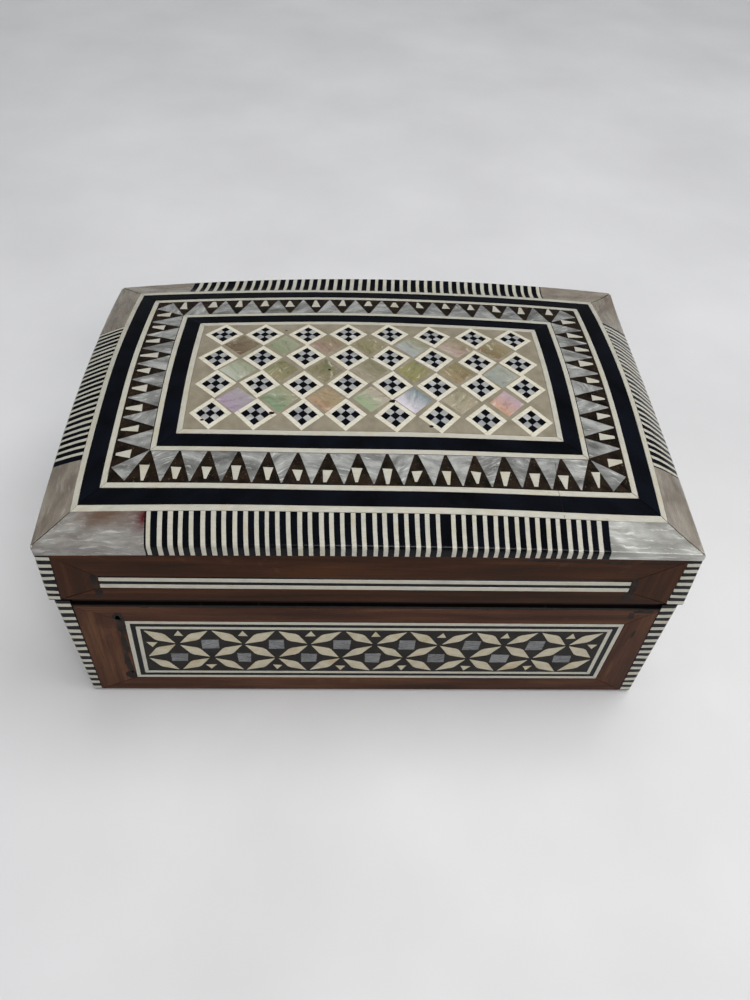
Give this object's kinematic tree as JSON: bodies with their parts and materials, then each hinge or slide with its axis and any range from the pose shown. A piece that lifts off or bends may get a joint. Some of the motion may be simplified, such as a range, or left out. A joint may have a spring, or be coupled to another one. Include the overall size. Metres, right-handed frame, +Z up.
{
  "type": "inlaid wooden box",
  "caption": "Small rectangular wooden box with a shallow domed hinged lid, inlaid all over with bone, black and mother-of-pearl mosaic bands.",
  "frame": {"origin": "middle of the underside, on the surface the box stands on", "axes": "+X along the box's length to the right, +Y from the front to the hinged back, +Z up"},
  "size_m": [0.1528, 0.1034, 0.0735],
  "materials": {
    "core_wood": "matte",
    "veneer_wood": "satin",
    "felt": "matte",
    "velvet": "matte",
    "mosaic_ground": "satin",
    "black_inlay": "gloss",
    "bone": "satin",
    "mother_of_pearl": "gloss",
    "panel_ground": "satin",
    "brass": "satin"
  },
  "bodies": {
    "base": {"base_underside_felt": "felt", "base_bottom_board": "core_wood", "base_front_wall": "core_wood", "base_back_wall": "core_wood", "base_left_wall": "core_wood", "base_right_wall": "core_wood", "base_front_veneer": "veneer_wood", "base_back_veneer": "veneer_wood", "base_left_veneer": "veneer_wood", "base_right_veneer": "veneer_wood", "base_front_mosaic": "mosaic_ground", "base_back_mosaic": "mosaic_ground", "base_left_mosaic": "mosaic_ground", "base_right_mosaic": "mosaic_ground", "base_corner_front_left": "black_inlay", "base_corner_front_right": "black_inlay", "base_corner_back_left": "black_inlay", "base_corner_back_right": "black_inlay", "base_lining_walls": "velvet", "base_lining_floor": "velvet", "hinge_left_lower_leaf": "brass", "hinge_left_pin": "brass", "hinge_left_lower_nail_1": "brass", "hinge_left_lower_nail_2": "brass", "hinge_right_lower_leaf": "brass", "hinge_right_pin": "brass", "hinge_right_lower_nail_1": "brass", "hinge_right_lower_nail_2": "brass"},
    "lid": {"lid_front_wall": "core_wood", "lid_back_wall": "core_wood", "lid_left_wall": "core_wood", "lid_right_wall": "core_wood", "lid_top_board": "core_wood", "lid_front_veneer": "veneer_wood", "lid_back_veneer": "veneer_wood", "lid_left_veneer": "veneer_wood", "lid_right_veneer": "veneer_wood", "lid_front_stringing": "bone", "lid_back_stringing": "bone", "lid_left_stringing": "bone", "lid_right_stringing": "bone", "lid_corner_front_left": "black_inlay", "lid_corner_front_right": "black_inlay", "lid_corner_back_left": "black_inlay", "lid_corner_back_right": "black_inlay", "lid_border_front": "mother_of_pearl", "lid_border_back": "mother_of_pearl", "lid_border_left": "mother_of_pearl", "lid_border_right": "mother_of_pearl", "lid_outer_frame": "black_inlay", "lid_tooth_frame": "mosaic_ground", "lid_inner_frame": "black_inlay", "lid_centre_panel": "panel_ground", "lid_lining": "velvet", "hinge_left_upper_leaf": "brass", "hinge_left_upper_nail_1": "brass", "hinge_left_upper_nail_2": "brass", "hinge_right_upper_leaf": "brass", "hinge_right_upper_nail_1": "brass", "hinge_right_upper_nail_2": "brass"}
  },
  "joints": [
    {"name": "lid_hinge", "type": "hinge", "parent": "base", "child": "lid", "pos_m": [0, 0.0494, 0.04285], "axis": [-1, 0, 0], "range_deg": [0, 100]}
  ]
}
